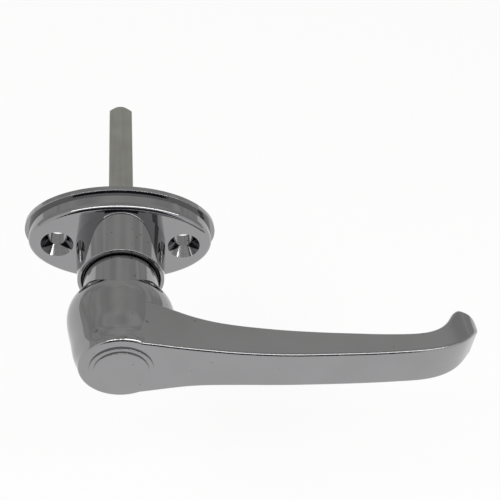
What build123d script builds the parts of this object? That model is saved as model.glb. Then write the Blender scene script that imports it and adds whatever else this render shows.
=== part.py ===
"""Lever door handle on an oval rose, with its square drive spindle.

Frame: origin at the centre of the rose's mounting face, on the spindle axis.
+X runs along the lever, +Y goes into the door, +Z is up. Millimetres.
"""
import os
from math import cos, radians, sin

from build123d import *

# ---------------------------------------------------------------- sizes
# rose plate
ROSE_A = 36.3           # half length of the oval
ROSE_B = 21.3           # half height of the oval
FLANGE_T = 2.2          # thickness of the flange at the door
STEP_IN = 1.5           # width of the flange's ledge
FACE_Y = -9.54          # front face of the plate
TIER_DRAFT = 0.3        # how far the raised tier draws in over its height
TIER_ROUND = 2.3        # rounding of the raised tier's edge
SHELL = 3.3             # casting wall at the rim
POCKET_Y = -6.5         # floor of the hollow back
RIB_T = 1.8             # stiffening ribs in the hollow back
RIB_ANGLES = (35, 145, 215, 325)

# fixing screws
SCREW_X = 23.9          # half the spacing of the two holes
HOLE_R = 3.47
SINK_R = 6.12           # countersink at the face
SINK_Y = -5.69          # where the countersink meets the hole
PILLAR_R = 7.2          # pillar round each hole

# journal of the handle, and the plain bearing that it turns in
JOURNAL_R = 13.70
BUSH_PLAY = 0.05
BUSH_WALL = 0.65
BUSH_R = JOURNAL_R + BUSH_PLAY
BORE_R = BUSH_R + BUSH_WALL

# tapered boss of the rose, round the bore
BOSS_WALL = 1.43        # at the mouth
BOSS_TAPER = 1.17       # how much wider it is at the plate's face
BOSS_R1 = BORE_R + BOSS_WALL
BOSS_R0 = BOSS_R1 + BOSS_TAPER
BOSS_Y = -28.6
BOSS_LIP = 0.45
WEB_FRONT_Y = -11.1
WEB_BACK_Y = -8.6
WEB_HOLE_R = 8.58
RECESS_R = BORE_R + 0.6
HUB_WALL = 2.4
HUB_R = RECESS_R + HUB_WALL

# thrust washer on the web, bush on the washer
THRUST_T = 0.8
THRUST_Y = (WEB_FRONT_Y - THRUST_T, WEB_FRONT_Y)
THRUST_R = (9.3, BORE_R - 0.05)
BUSH_Y = (-25.8, THRUST_Y[0])

# stop pin and its groove
PIN_R = 1.25
PIN_ORBIT = 11.0
PIN_Y = (-14.4, -8.6)
GROOVE_R = 1.38
GROOVE_Y = -14.9
SWING = 90.0            # each way from rest
SWING_SPARE = 0.8       # groove runs on past each stop, degrees

# handle: shoulder, neck and the ring of the seal
SHOULDER_Y = THRUST_Y[0] - 0.05
NECK_R = 8.50
NECK_Y = -3.8
SEAL_Y = -27.1          # middle of the seal's groove
SEAL_RING_R = 0.95
SEAL_PLAY = 0.05
SEAL_MAJOR_R = BORE_R - SEAL_PLAY - SEAL_RING_R
SEAL_GROOVE_R = SEAL_MAJOR_R - SEAL_RING_R
SEAL_GROOVE_W = 2 * SEAL_RING_R + 0.2
CLIP_Y = (-6.05, -4.95)
CLIP_GROOVE_Y = (-6.1, -4.9)
CLIP_GROOVE_R = 7.9
CLIP_R = 10.6
CLIP_LUG_ORBIT = 12.0
CLIP_LUG_R = 1.9
CLIP_LUG_HOLE_R = 0.8
CLIP_LUG_ANGLE = 13.0   # each side of the gap, degrees
CLIP_GAP = 2.0
BACKUP_Y = (-6.9, -6.1)
BACKUP_R = (8.56, 13.4)
SPRING_R = (9.0, 13.2)
SPRING_T = 0.5
SPRING_Y = (-8.57, -6.9)

# handle: body of the boss, (y, half width, half height)
BODY_SECTIONS = [
    (-32.1, 10.8, 9.6),
    (-34.9, 13.5, 11.0),
    (-37.1, 15.2, 12.0),
    (-39.6, 16.9, 13.0),
    (-42.6, 18.2, 13.8),
    (-47.1, 18.95, 14.1),
    (-52.6, 18.5, 14.2),
    (-59.6, 17.2, 14.3),
    (-65.6, 15.9, 14.35),
    (-70.2, 14.5, 14.3),
]
BODY_ROUND = 1.3

# handle: lever, plan outline as (x, y)
LEVER_FRONT = [
    (20, -70.2), (28, -70.35), (36, -70.75), (44, -71.1), (52, -71.35), (60, -71.4),
    (68, -71.25), (76, -71.05), (84, -70.8), (92, -70.4), (100, -69.85), (106, -69.3),
    (111, -68.4), (115.6, -66.9), (119.8, -64.8), (123.2, -62.2), (126.1, -59.2), (127.9, -56.2),
]
LEVER_TIP = [
    (127.9, -56.2), (127.6, -52.8), (125.6, -50.5), (122.7, -49.6), (120.1, -50.2),
]
LEVER_BACK = [
    (120.1, -50.2), (118.4, -51.9), (117, -53.9), (115.3, -56), (112.6, -58.2), (108.5, -60),
    (103, -60.9), (96, -61.1), (88, -61), (80, -60.7), (72, -60.4), (64, -59.9),
    (56, -59.3), (48, -58.5), (40, -57.6), (32, -56.4), (24, -54.5), (16, -52.1),
    (8, -50.1), (0, -49.1),
]
# lever, half height along x, round to the tip
LEVER_HALF = [
    (0, 13.7), (8, 12.8), (16, 11.3), (24, 10), (32, 9.2), (40, 8.7),
    (48, 8.43), (56, 8.31), (64, 8.27), (72, 8.3), (88, 8.3), (104, 8.45),
    (112, 8.5), (118, 8.3), (122, 7.8), (125, 6.9), (127.2, 5.3), (128.6, 2.8),
    (129, 0),
]
LEVER_ROUND = 1.1

# front cap and the cavity under it
CAP_FACE_Y = -70.2
CAP_FLANGE_R = 10.94
CAP_FLANGE_T = 0.65
CAP_DISC_R = 9.35
CAP_DISC_T = 0.6
CAP_PLUG_R = 9.0
CAP_PLUG_Y = -66.6
CAP_WALL = 1.4
CAVITY_Y = -59.6

# drive spindle and its screw
SPINDLE = 9.525         # square, 3/8 in
SOCKET_PLAY = 0.04
SOCKET_Y = -52.6
SPINDLE_Y = (-52.5, 73.6)
SPINDLE_TIP_R = 4.5
SPINDLE_TIP_LEN = 3.8
SCREW_R = 2.5
SCREW_HEAD_R = 4.25
SCREW_HEAD_T = 5.0
SCREW_END_Y = -40.6
LOCK_T = 1.2
LOCK_R = (2.6, 4.4)
HEX_AF = 4.0
HEX_DEEP = 2.6


# ---------------------------------------------------------------- helpers
def across(y):
    """Plane square to the spindle axis at y, its normal into the door, its x along the lever."""
    return Plane(origin=(0, y, 0), x_dir=(1, 0, 0), z_dir=(0, 1, 0))


def rod(r, y0, y1, x=0.0, z=0.0):
    """Round bar along the spindle axis from y0 to y1."""
    disc = across(y0) * Pos(x, -z) * Circle(r)
    return extrude(disc, y1 - y0)


def ring(r0, r1, y0, y1):
    return rod(r1, y0, y1) - rod(r0, y0 - 1, y1 + 1)


def bar(side, y0, y1):
    return extrude(across(y0) * Rectangle(side, side), y1 - y0)


def cone(y0, r0, y1, r1):
    """Truncated cone about the spindle axis."""
    half = make_face(Polyline((0, y0), (r0, y0), (r1, y1), (0, y1), close=True))
    return revolve(half, Axis.Y)


def oval(y, inset=0.0):
    """Ellipse of the rose at height y, drawn in by inset."""
    return across(y) * Ellipse(ROSE_A - inset, ROSE_B - inset)


def one(shape):
    """The single solid of a shape."""
    solids = shape.solids()
    assert len(solids) == 1, f"{len(solids)} solids"
    return solids[0]


# ---------------------------------------------------------------- rose
def make_rose():
    flange = extrude(oval(-FLANGE_T), FLANGE_T)
    flange = fillet(flange.faces().sort_by(Axis.Y)[0].edges(), 0.35)
    tier = loft([oval(-FLANGE_T + 0.4, STEP_IN), oval(FACE_Y, STEP_IN + TIER_DRAFT)])
    tier = fillet(tier.faces().sort_by(Axis.Y)[0].edges(), TIER_ROUND)
    boss = cone(FACE_Y + 1.0, BOSS_R0, BOSS_Y, BOSS_R1)
    boss = fillet(boss.faces().sort_by(Axis.Y)[0].edges(), BOSS_LIP)
    body = flange + tier + boss

    # hollow back: rim, hub, two screw pillars and ribs stay
    pocket = extrude(oval(POCKET_Y, STEP_IN + SHELL), 1 - POCKET_Y)
    pocket -= rod(HUB_R, POCKET_Y - 1, 2)
    for side in (-1, 1):
        pocket -= rod(PILLAR_R, POCKET_Y - 1, 2, side * SCREW_X)
    for angle in RIB_ANGLES:
        rib = extrude(across(POCKET_Y - 1) * Rot(0, 0, angle) * Pos(HUB_R, 0) * Rectangle(2 * HUB_R, RIB_T), ROSE_B)
        pocket -= rib
    body -= pocket

    body -= rod(BORE_R, BOSS_Y - 1, WEB_FRONT_Y)
    body -= rod(WEB_HOLE_R, WEB_FRONT_Y - 1, 1)
    body -= rod(RECESS_R, WEB_BACK_Y, 1)
    mouth = [e for e in body.edges().filter_by(GeomType.CIRCLE)
             if abs(e.center().Y - BOSS_Y) < 0.01 and abs(e.radius - BORE_R) < 0.01]
    body = chamfer(mouth, 0.25)
    for side in (-1, 1):
        body -= rod(HOLE_R, FACE_Y - 1, 1, side * SCREW_X)
        sink = cone(SINK_Y, HOLE_R, FACE_Y, SINK_R) + rod(SINK_R, FACE_Y - 2, FACE_Y)
        body -= Pos(side * SCREW_X, 0, 0) * sink
    body -= rod(PIN_R, WEB_FRONT_Y - 1, PIN_Y[1], 0, PIN_ORBIT)
    return one(body)


def make_stop_pin():
    pin = rod(PIN_R, PIN_Y[0], PIN_Y[1], 0, PIN_ORBIT)
    return one(chamfer(pin.edges().filter_by(GeomType.CIRCLE), 0.2))


def make_thrust_washer():
    washer = ring(*THRUST_R, *THRUST_Y)
    return one(washer - rod(PIN_R + 0.05, THRUST_Y[0] - 1, THRUST_Y[1] + 1, 0, PIN_ORBIT))


def make_bush():
    bush = ring(BUSH_R, BORE_R, *BUSH_Y)
    inner = [e for e in bush.edges().filter_by(GeomType.CIRCLE) if e.radius < BUSH_R + 0.01]
    return one(chamfer(inner, 0.2))


# ---------------------------------------------------------------- handle
def make_body_loft():
    sections = []
    for y, w, h in BODY_SECTIONS:
        sections.append(across(y) * Ellipse(w, h))
    solid = loft(sections)
    return fillet(solid.faces().sort_by(Axis.Y)[0].edges(), BODY_ROUND)


def make_lever():
    """The arm: its plan outline cut by its side outline, edges rounded."""
    root = (LEVER_HALF[0][0], CAP_FACE_Y)
    plan = make_face([Line(root, LEVER_FRONT[0]), Spline(*LEVER_FRONT, tangents=[(1, 0), (0.15, 1)]),
                      Spline(*LEVER_TIP, tangents=[(0.15, 1), (-0.75, -0.7)]),
                      Spline(*LEVER_BACK), Line(LEVER_BACK[-1], root)])
    slab = extrude(plan, 2 * LEVER_HALF[0][1], both=True)
    mirrored = [(x, -h) for x, h in reversed(LEVER_HALF[:-1])]
    outline = Spline(*LEVER_HALF, *mirrored)
    x0, h0 = LEVER_HALF[0]
    side = make_face([outline, Line((x0, -h0), (x0, h0))])
    side = Plane(origin=(0, 0, 0), x_dir=(1, 0, 0), z_dir=(0, -1, 0)) * side
    arm = slab & extrude(side, -1.5 * CAP_FACE_Y)
    rims = []
    for edge in arm.edges():
        size = edge.bounding_box().size
        if edge.center().X > x0 + 1 and max(size.X, size.Y) > 0.5:
            rims.append(edge)
    return fillet(rims, LEVER_ROUND)


def make_handle():
    body = make_body_loft()
    lever = make_lever()
    journal = rod(JOURNAL_R, SHOULDER_Y, BODY_SECTIONS[5][0])
    neck = rod(NECK_R, SHOULDER_Y - 1, NECK_Y)
    solid = body + lever + journal + neck
    solid -= ring(SEAL_GROOVE_R, JOURNAL_R + 1, SEAL_Y - SEAL_GROOVE_W / 2, SEAL_Y + SEAL_GROOVE_W / 2)
    solid -= ring(CLIP_GROOVE_R, NECK_R + 1, *CLIP_GROOVE_Y)
    solid -= bar(SPINDLE + 2 * SOCKET_PLAY, SOCKET_Y, 2)
    solid -= rod(SCREW_R + 0.1, CAVITY_Y - 1, SOCKET_Y + 1)
    solid -= rod(CAP_PLUG_R, CAP_FACE_Y - 2, CAVITY_Y)

    # curved groove for the stop pin, in the rear shoulder
    reach = SWING + SWING_SPARE
    arc = ring(PIN_ORBIT - GROOVE_R, PIN_ORBIT + GROOVE_R, GROOVE_Y, SHOULDER_Y + 1)
    half = Pos(0, GROOVE_Y, JOURNAL_R) * Box(3 * JOURNAL_R, JOURNAL_R, 2 * JOURNAL_R)
    solid -= arc & half
    for side in (-1, 1):
        turn = radians(side * reach)
        x, z = PIN_ORBIT * sin(turn), PIN_ORBIT * cos(turn)
        solid -= rod(GROOVE_R, GROOVE_Y, SHOULDER_Y + 1, x, z)
    return one(solid)


def make_cap():
    cap = rod(CAP_FLANGE_R, CAP_FACE_Y, CAP_FACE_Y - CAP_FLANGE_T)
    cap = fillet(cap.faces().sort_by(Axis.Y)[0].edges(), 0.2)
    disc = rod(CAP_DISC_R, CAP_FACE_Y, CAP_FACE_Y - CAP_FLANGE_T - CAP_DISC_T)
    disc = fillet(disc.faces().sort_by(Axis.Y)[0].edges(), 0.25)
    plug = rod(CAP_PLUG_R, CAP_FACE_Y, CAP_PLUG_Y) - rod(CAP_PLUG_R - CAP_WALL, CAP_FACE_Y + 0.6, CAP_PLUG_Y + 1)
    return one(cap + disc + plug)


def make_spindle():
    y0, y1 = SPINDLE_Y
    blank = rod(SPINDLE, y0 - 1, y1 - SPINDLE_TIP_LEN)
    blank += cone(y1 - SPINDLE_TIP_LEN, SPINDLE * 0.7071 + 0.05, y1, SPINDLE_TIP_R)
    square = bar(SPINDLE, y0, y1)
    square = chamfer(square.edges().filter_by(Axis.Y), 0.25)
    solid = square & blank
    return one(solid - rod(SCREW_R, y0 - 1, SCREW_END_Y + 0.8))


def make_screw():
    head_y = CAVITY_Y - LOCK_T
    head = rod(SCREW_HEAD_R, head_y - SCREW_HEAD_T, head_y)
    head = fillet(head.faces().sort_by(Axis.Y)[0].edges(), 0.4)
    shank = rod(SCREW_R, head_y - 1, SCREW_END_Y)
    shank = chamfer(shank.faces().sort_by(Axis.Y)[-1].edges(), 0.4)
    socket = extrude(across(head_y - SCREW_HEAD_T - 1) * RegularPolygon(HEX_AF / 2, 6, major_radius=False),
                     HEX_DEEP + 1)
    return one(head + shank - socket)


def make_lock_washer():
    washer = ring(*LOCK_R, CAVITY_Y - LOCK_T, CAVITY_Y)
    slit = Pos(3.5, CAVITY_Y - LOCK_T / 2, 0) * Rot(35, 0, 0) * Box(3, 5, 0.5)
    return one(washer - slit)


def make_seal():
    tube = Pos(SEAL_MAJOR_R, SEAL_Y) * Circle(SEAL_RING_R)
    return one(revolve(tube, Axis.Y))


def make_backup_washer():
    return one(ring(*BACKUP_R, *BACKUP_Y))


def make_spring_washer():
    """Saddle-shaped spring washer: a flat ring bent about one axis."""
    y_low, y_high = SPRING_Y
    sag = y_high - y_low - SPRING_T
    bend = SPRING_R[1] ** 2 / (2 * sag) + sag / 2
    middle = y_high - bend
    outer = Pos(0, middle) * Circle(bend)
    inner = Pos(0, middle) * Circle(bend - SPRING_T)
    slab = extrude(outer - inner, 2 * SPRING_R[1], both=True)
    return one(ring(*SPRING_R, y_low - 1, y_high + 1) & slab)


def make_clip():
    """External retaining ring with two lugs and plier holes."""
    clip = ring(CLIP_GROOVE_R, CLIP_R, *CLIP_Y)
    lug_at = []
    for side in (-1, 1):
        turn = radians(-90 + side * CLIP_LUG_ANGLE)
        lug_at.append((CLIP_LUG_ORBIT * cos(turn), CLIP_LUG_ORBIT * sin(turn)))
    for x, z in lug_at:
        clip += rod(CLIP_LUG_R, *CLIP_Y, x, z)
    clip -= rod(CLIP_GROOVE_R, CLIP_Y[0] - 1, CLIP_Y[1] + 1)
    for x, z in lug_at:
        clip -= rod(CLIP_LUG_HOLE_R, CLIP_Y[0] - 1, CLIP_Y[1] + 1, x, z)
    thick = CLIP_Y[1] - CLIP_Y[0]
    gap = Box(CLIP_GAP, 3 * thick, CLIP_R)
    return one(clip - Pos(0, CLIP_Y[0] + thick / 2, -CLIP_R) * gap)


NODES = {
    "rose_plate": make_rose,
    "bearing_bush": make_bush,
    "thrust_washer": make_thrust_washer,
    "stop_pin": make_stop_pin,
    "lever_handle": make_handle,
    "front_cap": make_cap,
    "spindle": make_spindle,
    "spindle_screw": make_screw,
    "lock_washer": make_lock_washer,
    "o_ring_seal": make_seal,
    "backup_washer": make_backup_washer,
    "spring_washer": make_spring_washer,
    "retaining_ring": make_clip,
}

os.makedirs("parts", exist_ok=True)
for name, make in NODES.items():
    shape = make()
    export_step(shape, f"parts/{name}.step")
    print(name, "volume", round(shape.volume, 1))
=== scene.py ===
"""Looks of the lever door handle: plating, zinc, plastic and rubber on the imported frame."""

from math import cos, sin

import bpy
from mathutils import Matrix, Vector


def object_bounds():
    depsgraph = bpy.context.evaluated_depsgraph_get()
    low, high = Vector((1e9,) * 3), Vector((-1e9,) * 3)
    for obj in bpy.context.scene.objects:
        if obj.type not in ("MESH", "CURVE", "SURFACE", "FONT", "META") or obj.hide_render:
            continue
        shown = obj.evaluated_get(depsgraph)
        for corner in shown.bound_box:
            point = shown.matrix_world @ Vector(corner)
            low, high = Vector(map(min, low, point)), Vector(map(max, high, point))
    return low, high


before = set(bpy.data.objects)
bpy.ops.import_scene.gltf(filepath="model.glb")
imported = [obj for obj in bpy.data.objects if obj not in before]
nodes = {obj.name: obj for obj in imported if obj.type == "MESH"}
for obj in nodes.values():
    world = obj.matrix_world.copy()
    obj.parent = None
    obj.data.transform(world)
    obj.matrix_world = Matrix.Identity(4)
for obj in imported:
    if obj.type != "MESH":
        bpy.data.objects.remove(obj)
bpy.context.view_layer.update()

# colour sockets of a Mix node that is set to RGBA
MIX_A, MIX_B, MIX_RESULT = 6, 7, 2


# ---------------------------------------------------------------- node helpers
class Shader:
    """A new material with short calls for its node tree."""

    def __init__(self, name, **sockets):
        self.material = bpy.data.materials.new(name)
        self.material.use_nodes = True
        self.tree = self.material.node_tree
        self.bsdf = self.tree.nodes["Principled BSDF"]
        for socket, value in sockets.items():
            self.bsdf.inputs[socket.replace("_", " ")].default_value = value
        self.place = self.tree.nodes.new("ShaderNodeTexCoord").outputs["Object"]

    def add(self, kind, inputs=None, **settings):
        """A node, its inputs linked where they are sockets and set where they are values."""
        node = self.tree.nodes.new("ShaderNode" + kind)
        for key, value in settings.items():
            setattr(node, key, value)
        for key, value in (inputs or {}).items():
            if isinstance(value, bpy.types.NodeSocket):
                self.tree.links.new(value, node.inputs[key])
            else:
                node.inputs[key].default_value = value
        return node

    def noise(self, scale, detail=2.0, stretch=(1, 1, 1), seed=0.0):
        place = self.add("Mapping", {"Vector": self.place, "Scale": stretch,
                                     "Location": (seed, seed, seed)})
        return self.add("TexNoise", {"Vector": place.outputs[0], "Scale": scale,
                                     "Detail": detail}).outputs["Fac"]

    def map(self, value, low, high, to_low, to_high):
        return self.add("MapRange", {"Value": value, "From Min": low, "From Max": high,
                                     "To Min": to_low, "To Max": to_high}).outputs["Result"]

    def maths(self, operation, a, b):
        return self.add("Math", {0: a, 1: b}, operation=operation).outputs[0]

    def tint(self, factor, dark, light):
        """Blend of two colours; each is an RGB triple or a colour socket."""
        mix = self.add("Mix", data_type="RGBA")
        self.tree.links.new(factor, mix.inputs["Factor"])
        for spot, shade in ((MIX_A, dark), (MIX_B, light)):
            if isinstance(shade, bpy.types.NodeSocket):
                self.tree.links.new(shade, mix.inputs[spot])
            else:
                mix.inputs[spot].default_value = (*shade, 1)
        return mix.outputs[MIX_RESULT]

    def bump(self, height, distance, strength, normal=None):
        """Bump over another normal, if one is given; distance in metres."""
        inputs = {"Height": height, "Distance": distance, "Strength": strength}
        if normal is not None:
            inputs["Normal"] = normal
        return self.add("Bump", inputs).outputs["Normal"]

    def drive(self, socket, value):
        self.tree.links.new(value, self.bsdf.inputs[socket])

    def surface(self, shader):
        """Gives the material this shader's output in place of the Principled one."""
        out = self.tree.nodes["Material Output"].inputs["Surface"]
        self.tree.links.new(shader.outputs[0], out)


# ---------------------------------------------------------------- materials
def chrome_plate():
    """Bright plating over a buffed casting: slight ripple, wipe marks, haze and a few pits."""
    m = Shader("chrome_plate", Metallic=1.0)
    ripple = m.noise(34, detail=1.5)
    wipes = m.noise(520, detail=3.0, stretch=(0.10, 1, 1), seed=3.0)
    haze = m.noise(70, detail=4.0, seed=7.0)
    pits = m.map(m.noise(430, detail=1.0, seed=11.0), 0.755, 0.80, 0.0, 1.0)

    sheen = m.tint(haze, (0.28, 0.28, 0.285), (0.325, 0.325, 0.332))
    m.drive("Base Color", m.tint(pits, sheen, (0.16, 0.155, 0.15)))

    hazy = m.map(haze, 0.35, 0.7, 0.035, 0.10)
    wiped = m.map(wipes, 0.5, 0.75, 0.0, 0.05)
    pitted = m.maths("MULTIPLY", pits, 0.3)
    m.drive("Roughness", m.maths("ADD", m.maths("ADD", hazy, wiped), pitted))

    wave = m.bump(ripple, distance=0.0004, strength=0.22)
    dents = m.bump(pits, distance=0.00003, strength=0.5, normal=wave)
    m.drive("Normal", m.bump(wipes, distance=0.00002, strength=0.12, normal=dents))
    return m.material


def zinc_bar():
    """Dull zinc on drawn bar: grey cloud and draw lines along the bar."""
    m = Shader("zinc_bar", Metallic=1.0)
    cloud = m.noise(90, detail=4.0)
    lines = m.noise(900, detail=2.0, stretch=(1, 0.03, 1), seed=5.0)
    streaks = m.maths("MULTIPLY", cloud, m.map(lines, 0.3, 0.7, 0.8, 1.2))
    m.drive("Base Color", m.tint(streaks, (0.26, 0.26, 0.245), (0.455, 0.455, 0.425)))
    m.drive("Roughness", m.map(cloud, 0.3, 0.7, 0.34, 0.52))
    spangle = m.bump(cloud, distance=0.0001, strength=0.2)
    m.drive("Normal", m.bump(lines, distance=0.00005, strength=0.3, normal=spangle))
    return m.material


def turned_steel(name, dark, light, rough):
    """Machined or spring steel with rings of fine tool marks about the spindle axis."""
    marks_per_metre = 6000.0
    m = Shader(name, Metallic=1.0)
    flat = m.add("Mapping", {"Vector": m.place, "Scale": (1, 0, 1)})
    radius = m.add("VectorMath", {0: flat.outputs[0]}, operation="LENGTH").outputs["Value"]
    marks = m.add("TexNoise", {"W": m.maths("MULTIPLY", radius, marks_per_metre),
                               "Scale": 1.0, "Detail": 2.0},
                  noise_dimensions="1D").outputs["Fac"]
    m.drive("Base Color", m.tint(m.noise(140, detail=3.0), dark, light))
    m.drive("Roughness", m.map(marks, 0.3, 0.7, rough - 0.08, rough + 0.1))
    m.drive("Normal", m.bump(marks, distance=0.00002, strength=0.35))
    return m.material


def moulded(name, dark, light, rough, grain):
    """Moulded plastic or rubber: fine grain and a little mottling."""
    m = Shader(name)
    fine = m.noise(2600, detail=2.0)
    mottle = m.noise(120, detail=3.0, seed=2.0)
    m.drive("Base Color", m.tint(mottle, dark, light))
    m.drive("Roughness", m.map(fine, 0.3, 0.7, rough - 0.06, rough + 0.08))
    m.drive("Normal", m.bump(fine, distance=grain, strength=0.4))
    return m.material


CHROME = chrome_plate()
ZINC = zinc_bar()
STEEL = turned_steel("turned_steel", (0.42, 0.42, 0.42), (0.56, 0.56, 0.56), 0.28)
SPRING = turned_steel("spring_steel", (0.10, 0.10, 0.11), (0.19, 0.19, 0.20), 0.36)
ACETAL = moulded("acetal", (0.74, 0.73, 0.68), (0.82, 0.81, 0.77), 0.42, grain=0.00003)
NITRILE = moulded("nitrile", (0.012, 0.012, 0.012), (0.03, 0.03, 0.03), 0.55, grain=0.00004)

FINISH = {
    "rose_plate": CHROME, "lever_handle": CHROME, "front_cap": CHROME,
    "spindle": ZINC,
    "stop_pin": STEEL, "spindle_screw": STEEL, "backup_washer": STEEL,
    "lock_washer": SPRING, "spring_washer": SPRING, "retaining_ring": SPRING,
    "bearing_bush": ACETAL, "thrust_washer": ACETAL,
    "o_ring_seal": NITRILE,
}
for name, finish in FINISH.items():
    mesh = nodes[name].data
    mesh.materials.clear()
    mesh.materials.append(finish)


# ---------------------------------------------------------------- surroundings
LEVER_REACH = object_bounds()[1][0]
FLOOR_Z = -LEVER_REACH - 0.005      # the lever clears it when turned straight down
FLOOR_HALF = 15.0
FLOOR_PAINT = 0.92
FLOOR_LIFT = 0.86                   # how far the floor is lifted to white where it is seen
ROOM_LIGHT = 0.5                    # what the world casts on the object
# what the world shows, so that no horizon stands out: the shade of the far floor
ROOM_SEEN = round(FLOOR_LIFT + (1 - FLOOR_LIFT) * FLOOR_PAINT * ROOM_LIGHT, 3)

TENT_X = 2.6                        # half width of the tent of cards
TENT_Y = (-0.95, 3.2)
TENT_Z = (0.30, 1.5)
FLAG_X = 0.9
FLAG_Y = -1.7
FLAG_Z = (0.02, 1.4)


def seen_directly(tree):
    """1 for camera, mirror and glass rays, 0 for the rays that light the object."""
    path = tree.nodes.new("ShaderNodeLightPath")
    total = path.outputs["Is Camera Ray"]
    for ray in ("Is Glossy Ray", "Is Transmission Ray"):
        either = tree.nodes.new("ShaderNodeMath")
        either.operation = "MAXIMUM"
        tree.links.new(total, either.inputs[0])
        tree.links.new(path.outputs[ray], either.inputs[1])
        total = either.outputs[0]
    return total


def white_floor():
    """Matt white floor, lifted towards white where it is seen; it keeps a pale shadow."""
    m = Shader("floor_white", Roughness=0.9,
               Base_Color=(FLOOR_PAINT, FLOOR_PAINT, FLOOR_PAINT, 1))
    lift = m.maths("MULTIPLY", seen_directly(m.tree), FLOOR_LIFT)
    glow = m.add("Emission", {"Color": (1, 1, 1, 1), "Strength": 1.0})
    m.surface(m.add("MixShader", {0: lift, 1: m.bsdf.outputs[0], 2: glow.outputs[0]}))
    return m.material


def card_paint(name, dark, light):
    """A studio card, softly clouded between two shades."""
    m = Shader(name)
    cloud = m.map(m.noise(1.1, detail=1.0), 0.35, 0.65, 0.0, 1.0)
    m.surface(m.add("Emission", {"Color": m.tint(cloud, dark, light), "Strength": 1.0}))
    return m.material


def panel(name, corners, material):
    """A flat four-cornered panel of the studio."""
    mesh = bpy.data.meshes.new(name)
    mesh.from_pydata(corners, [], [(0, 1, 2, 3)])
    mesh.materials.append(material)
    obj = bpy.data.objects.new(name, mesh)
    bpy.context.collection.objects.link(obj)
    return obj


def level(name, half_x, y0, y1, z, material):
    """A panel that lies flat."""
    corners = [(-half_x, y0, z), (half_x, y0, z), (half_x, y1, z), (-half_x, y1, z)]
    return panel(name, corners, material)


def wall(name, half_x, y, z0, z1, material):
    """A panel that stands across the view."""
    corners = [(-half_x, y, z0), (half_x, y, z0), (half_x, y, z1), (-half_x, y, z1)]
    return panel(name, corners, material)


def side_wall(name, x, y0, y1, z0, z1, material):
    """A panel that stands beside the object."""
    return panel(name, [(x, y0, z0), (x, y1, z0), (x, y1, z1), (x, y0, z1)], material)


level("floor", FLOOR_HALF, -FLOOR_HALF, FLOOR_HALF, FLOOR_Z, white_floor())

GREY = card_paint("tent_grey", (0.47, 0.465, 0.455), (0.62, 0.615, 0.60))
BLACK = card_paint("flag_black", (0.015, 0.015, 0.02), (0.05, 0.05, 0.065))
cards = [
    level("ceiling", TENT_X, *TENT_Y, TENT_Z[1], GREY),
    wall("back_card", TENT_X, TENT_Y[1], *TENT_Z, GREY),
    wall("front_flag", FLAG_X, FLAG_Y, *FLAG_Z, BLACK),
    side_wall("left_card", -TENT_X, *TENT_Y, *TENT_Z, GREY),
    side_wall("right_card", TENT_X, *TENT_Y, *TENT_Z, GREY),
]
for card in cards:
    card.visible_camera = False     # it shows only in the plating, as a lamp does

world = bpy.data.worlds.new("world")
bpy.context.scene.world = world
world.use_nodes = True
tree = world.node_tree
room = tree.nodes.new("ShaderNodeMix")
room.data_type = "RGBA"
room.inputs[MIX_A].default_value = (ROOM_LIGHT, ROOM_LIGHT, ROOM_LIGHT, 1)
room.inputs[MIX_B].default_value = (ROOM_SEEN, ROOM_SEEN, ROOM_SEEN, 1)
tree.links.new(seen_directly(tree), room.inputs["Factor"])
tree.links.new(room.outputs[MIX_RESULT], tree.nodes["Background"].inputs["Color"])


# ---------------------------------------------------------------- lamps
def softbox(name, place, width, height, power, mirrored=False):
    """An area lamp aimed at the object; only a mirrored one shows up in the plating."""
    lamp = bpy.data.lights.new(name, "AREA")
    lamp.shape = "RECTANGLE"
    lamp.size, lamp.size_y = width, height
    lamp.energy = power
    obj = bpy.data.objects.new(name, lamp)
    obj.location = place
    obj.rotation_euler = (MIDDLE - Vector(place)).to_track_quat("-Z", "Y").to_euler()
    obj.visible_glossy = mirrored
    bpy.context.collection.objects.link(obj)


MIDDLE = Vector((0.05, -0.04, 0.0))     # what the lamps aim at
softbox("key", (-0.6, -0.5, 1.1), width=0.5, height=0.5, power=5.0)
softbox("fill", (0.9, -0.7, 0.7), width=0.6, height=0.6, power=4.0)
softbox("front_strip", (0.1, -0.62, 1.02), width=1.8, height=0.16, power=5.0, mirrored=True)


# ---------------------------------------------------------------- camera
CAMERA_AT = (-0.00591, -0.28772, 0.26387)
CAMERA_DOWN = 0.752237              # radians below level
CAMERA_TURN = -0.197571             # radians about Z, from looking along +Y
CAMERA_ROLL = 0.149400              # radians about the line of sight
LENS_MM = 72.0
SENSOR_MM = 36.0


def aim_camera():
    """The photo's view: down on the lever from in front of the rose, slightly rolled."""
    ahead = Vector((-sin(CAMERA_TURN) * cos(CAMERA_DOWN),
                    cos(CAMERA_TURN) * cos(CAMERA_DOWN),
                    -sin(CAMERA_DOWN)))
    right = Vector((cos(CAMERA_TURN), sin(CAMERA_TURN), 0))
    up = right.cross(ahead)
    x_axis = cos(CAMERA_ROLL) * right + sin(CAMERA_ROLL) * up
    y_axis = cos(CAMERA_ROLL) * up - sin(CAMERA_ROLL) * right
    lens = bpy.data.cameras.new("camera")
    lens.lens = LENS_MM
    lens.sensor_width = SENSOR_MM
    lens.clip_start = 0.01
    camera = bpy.data.objects.new("camera", lens)
    basis = Matrix((x_axis, y_axis, -ahead)).transposed().to_4x4()
    camera.matrix_world = Matrix.Translation(CAMERA_AT) @ basis
    bpy.context.collection.objects.link(camera)
    bpy.context.scene.camera = camera


aim_camera()
bpy.context.scene.view_settings.view_transform = "Standard"
